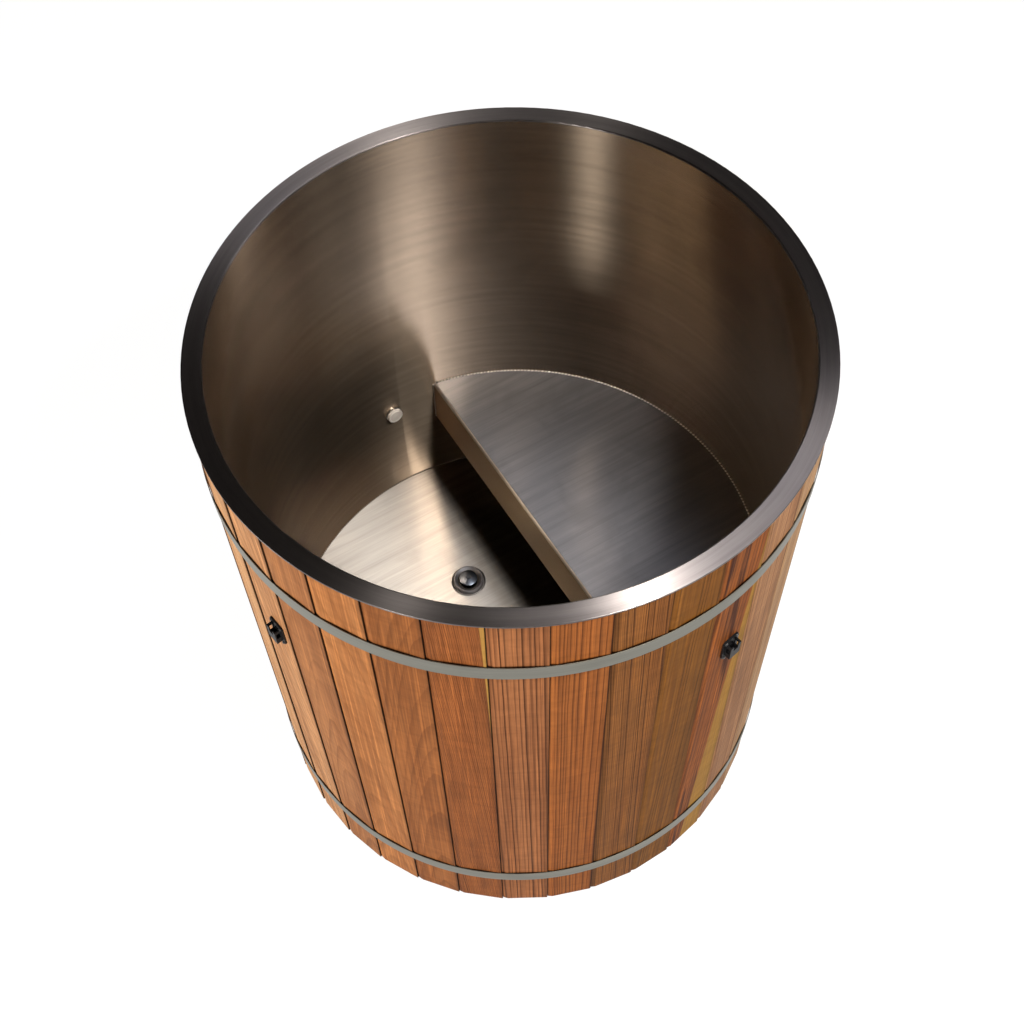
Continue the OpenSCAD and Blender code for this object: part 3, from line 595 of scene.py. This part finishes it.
def round_bead(name, reach, height, from_turn, to_turn, size, material, seed):
    """A weld bead in the corner between the wall and a level sheet."""
    count = round(2 * math.pi * reach / BEAD_STEP)
    bare_selection()
    bpy.ops.mesh.primitive_torus_add(
        major_radius=reach, minor_radius=size, major_segments=count, minor_segments=BEAD_SIDES,
        location=(0, 0, height))
    bead = bpy.context.object
    bead.name = bead.data.name = name
    bpy.ops.object.mode_set(mode="EDIT")
    bpy.ops.mesh.select_all(action="DESELECT")
    bpy.ops.object.mode_set(mode="OBJECT")
    if to_turn - from_turn < 360:
        middle, half = (from_turn + to_turn) / 2, (to_turn - from_turn) / 2
        for point in bead.data.vertices:
            turn = math.degrees(math.atan2(point.co.y, point.co.x))
            point.select = abs((turn - middle + 180) % 360 - 180) > half
        bpy.ops.object.mode_set(mode="EDIT")
        bpy.ops.mesh.delete(type="VERT")
        bpy.ops.object.mode_set(mode="OBJECT")
    finish_bead(bead, material, seed)


def upright_bead(name, turn, low, high, size, material, seed):
    """A weld bead up the wall, at the end of the bench's lip."""
    reach = VESSEL_R - LIP_BEAD_SINK
    spot = (reach * math.cos(math.radians(turn)), reach * math.sin(math.radians(turn)))
    bare_selection()
    bpy.ops.mesh.primitive_cylinder_add(
        vertices=BEAD_SIDES, radius=size, depth=high - low, location=(*spot, (low + high) / 2))
    bead = bpy.context.object
    bead.name = bead.data.name = name
    bpy.ops.object.mode_set(mode="EDIT")
    bpy.ops.mesh.select_all(action="DESELECT")
    bpy.ops.object.mode_set(mode="OBJECT")
    for edge in bead.data.edges:
        ends = [bead.data.vertices[i].co.z for i in edge.vertices]
        edge.select = abs(ends[0] - ends[1]) > size
    bpy.ops.object.mode_set(mode="EDIT")
    bpy.ops.mesh.select_mode(type="EDGE")
    bpy.ops.mesh.subdivide(number_cuts=round((high - low) / LIP_BEAD_STEP))
    bpy.ops.mesh.select_mode(type="VERT")
    bpy.ops.object.mode_set(mode="OBJECT")
    finish_bead(bead, material, seed)


def weld_metal(name, colour, pitch):
    """The ripples of a weld, one every pitch along the bead, each with a dark foot painted as shade between
    the ripples.
    """
    material, tree, shader, place = new_material(name)
    x, y, z = parts(tree, place)
    along = calc(tree, "MULTIPLY_ADD", calc(tree, "ARCTAN2", y, x), VESSEL_R, z)
    uneven = noise(tree, place, 140, 2, 0.6)
    along = calc(tree, "MULTIPLY_ADD", uneven, 0.35 * pitch, along)
    ripple = calc(tree, "SINE", calc(tree, "MULTIPLY", along, 2 * math.pi / pitch))
    ripple = calc(tree, "MULTIPLY_ADD", ripple, 0.5, 0.5)
    # Painted shade at the foot of each ripple
    dark = tuple(c * 0.35 for c in colour) + (1,)
    base = blend(tree, step(tree, ripple, 0.10, 0.6), dark, tuple(colour) + (1,))
    join(tree, shader["Base Color"], base)
    join(tree, shader["Roughness"], between(tree, uneven, 0.30, 0.50))
    join(tree, shader["Normal"], bump(tree, ripple, 0.8, 0.0012))
    shader["Metallic"].default_value = 1
    return material


def make_welds():
    # Lit and shaded copies of one weld metal: near white on the bench's and lip's beads as painted
    # highlight, dim on the floor's bead as painted shade
    bright = weld_metal("weld_painted_highlight", (0.95, 0.90, 0.84), BENCH_RIPPLE)
    dim = weld_metal("weld_painted_shade", (0.34, 0.30, 0.26), FLOOR_RIPPLE)
    reach = VESSEL_R - BEAD_SINK
    swing = math.degrees(math.acos(BENCH_OFFSET / VESSEL_R))
    low, high = BENCH_TURN - swing, BENCH_TURN + swing
    round_bead("bench_weld", reach, BENCH_Z + BEAD_LIFT, low, high, BENCH_BEAD, bright, 1)
    round_bead("floor_weld", reach, FLOOR_Z + BEAD_LIFT, -180, 180, FLOOR_BEAD, dim, 2)
    foot, top = LIP_FOOT_Z + LIP_BEAD_GAP, BENCH_Z - LIP_BEAD_GAP
    for number, turn in enumerate((low, high)):
        upright_bead("lip_weld_%d" % (number + 1), turn, foot, top, LIP_BEAD, bright, 3 + number)


# Studio

def make_camera():
    bpy.ops.object.camera_add(
        location=CAMERA_PLACE, rotation=[math.radians(angle) for angle in CAMERA_TURN])
    camera = bpy.context.object
    camera.data.sensor_width = CAMERA_SENSOR
    camera.data.lens = CAMERA_LENS
    camera.data.clip_start, camera.data.clip_end = 0.05, 60
    bpy.context.scene.camera = camera


def lamp(name, turn, lift, distance, size, power, colour, aim=(0, 0, 0.8)):
    """A square soft light at a direction and height angle from the tub, in degrees and metres."""
    turn, lift = math.radians(turn), math.radians(lift)
    way = Vector((math.cos(lift) * math.cos(turn), math.cos(lift) * math.sin(turn), math.sin(lift)))
    bpy.ops.object.light_add(type="AREA", location=Vector(aim) + way * distance)
    light = bpy.context.object
    light.name = name
    light.rotation_euler = way.to_track_quat("Z", "Y").to_euler()
    light.data.size = size
    light.data.energy = power
    light.data.color = colour


def make_floor():
    """A pale floor that keeps the tub's shadow, and that the camera and reflections see near white."""
    bare_selection()
    bpy.ops.mesh.primitive_plane_add(size=STUDIO_WIDTH, location=(0, 0, STUDIO_FLOOR_Z))
    floor = bpy.context.object
    floor.name = "studio_floor"
    material = bpy.data.materials.new("pale_floor")
    material.use_nodes = True
    tree = material.node_tree
    tree.nodes.clear()
    result = tree.nodes.new("ShaderNodeOutputMaterial")
    path = tree.nodes.new("ShaderNodeLightPath").outputs
    matt = add(tree, "BsdfDiffuse", {"Color": (0.80, 0.79, 0.78, 1)})
    thin = add(tree, "BsdfDiffuse", {"Color": (0.14, 0.14, 0.14, 1)})
    glow = add(tree, "Emission", {"Color": (1, 1, 1, 1), "Strength": 0.93})
    seen = add(tree, "AddShader", {0: thin, 1: glow})
    share = calc(tree, "MAXIMUM", path["Is Camera Ray"], path["Is Transmission Ray"])
    share = calc(tree, "MAXIMUM", share, path["Is Glossy Ray"])
    join(tree, result.inputs["Surface"], add(tree, "MixShader", {0: share, 1: matt, 2: seen}))
    floor.data.materials.append(material)


def make_ceiling():
    """A dark ceiling that only reflections see, so that steel has something dark to mirror."""
    bare_selection()
    bpy.ops.mesh.primitive_plane_add(
        size=CEILING_WIDTH, location=(0, 0, CEILING_Z), rotation=(math.pi, 0, 0))
    ceiling = bpy.context.object
    ceiling.name = "studio_ceiling"
    material, tree, shader, place = new_material("dark_ceiling")
    join(tree, shader["Base Color"], blend(
        tree, noise(tree, place, 0.4, 2), srgb(20, 16, 13), srgb(34, 28, 23)))
    shader["Roughness"].default_value = 1
    ceiling.data.materials.append(material)
    ceiling.visible_camera = ceiling.visible_diffuse = ceiling.visible_shadow = False


def make_world():
    """White to the camera and in reflections, and a soft warm fill light elsewhere."""
    world = bpy.data.worlds.new("studio")
    bpy.context.scene.world = world
    world.use_nodes = True
    tree = world.node_tree
    tree.nodes.clear()
    result = tree.nodes.new("ShaderNodeOutputWorld")
    path = tree.nodes.new("ShaderNodeLightPath").outputs
    share = calc(tree, "MAXIMUM", path["Is Camera Ray"], path["Is Transmission Ray"])
    share = calc(tree, "MAXIMUM", share, path["Is Glossy Ray"])
    soft = add(tree, "Background", {"Color": (1.0, 0.97, 0.94, 1), "Strength": 0.22})
    white = add(tree, "Background", {"Color": (1, 1, 1, 1), "Strength": 1.0})
    join(tree, result.inputs["Surface"], add(tree, "MixShader", {0: share, 1: soft, 2: white}))


def make_studio():
    make_camera()
    make_floor()
    make_ceiling()
    make_world()
    lamp("overhead", -43, 61, 2.5, 0.26, 54, WARM)
    lamp("overhead_right", -32, 56, 2.4, 0.3, 5, WARM)
    lamp("overhead_back", 60, 68, 2.6, 0.6, 4, COOL)
    lamp("back_right", 32, 55, 2.6, 0.6, 3, COOL)
    lamp("window", -121, 23, 3.4, 0.4, 62, WARM)
    lamp("side", -20, 35, 3.2, 0.6, 11, WARMER)
    lamp("side_low", 12, 9, 3.2, 0.7, 17, WARMER)
    lamp("front", -90, 62, 2.6, 0.4, 2, WARM)
    lamp("left", -160, 0, 3.0, 0.8, 20, WARMER, aim=(0, 0, 0.55))
    bpy.context.scene.view_settings.view_transform = "Standard"


dress_staves()
dress_metals()
dress_mouldings()
make_welds()
make_studio()
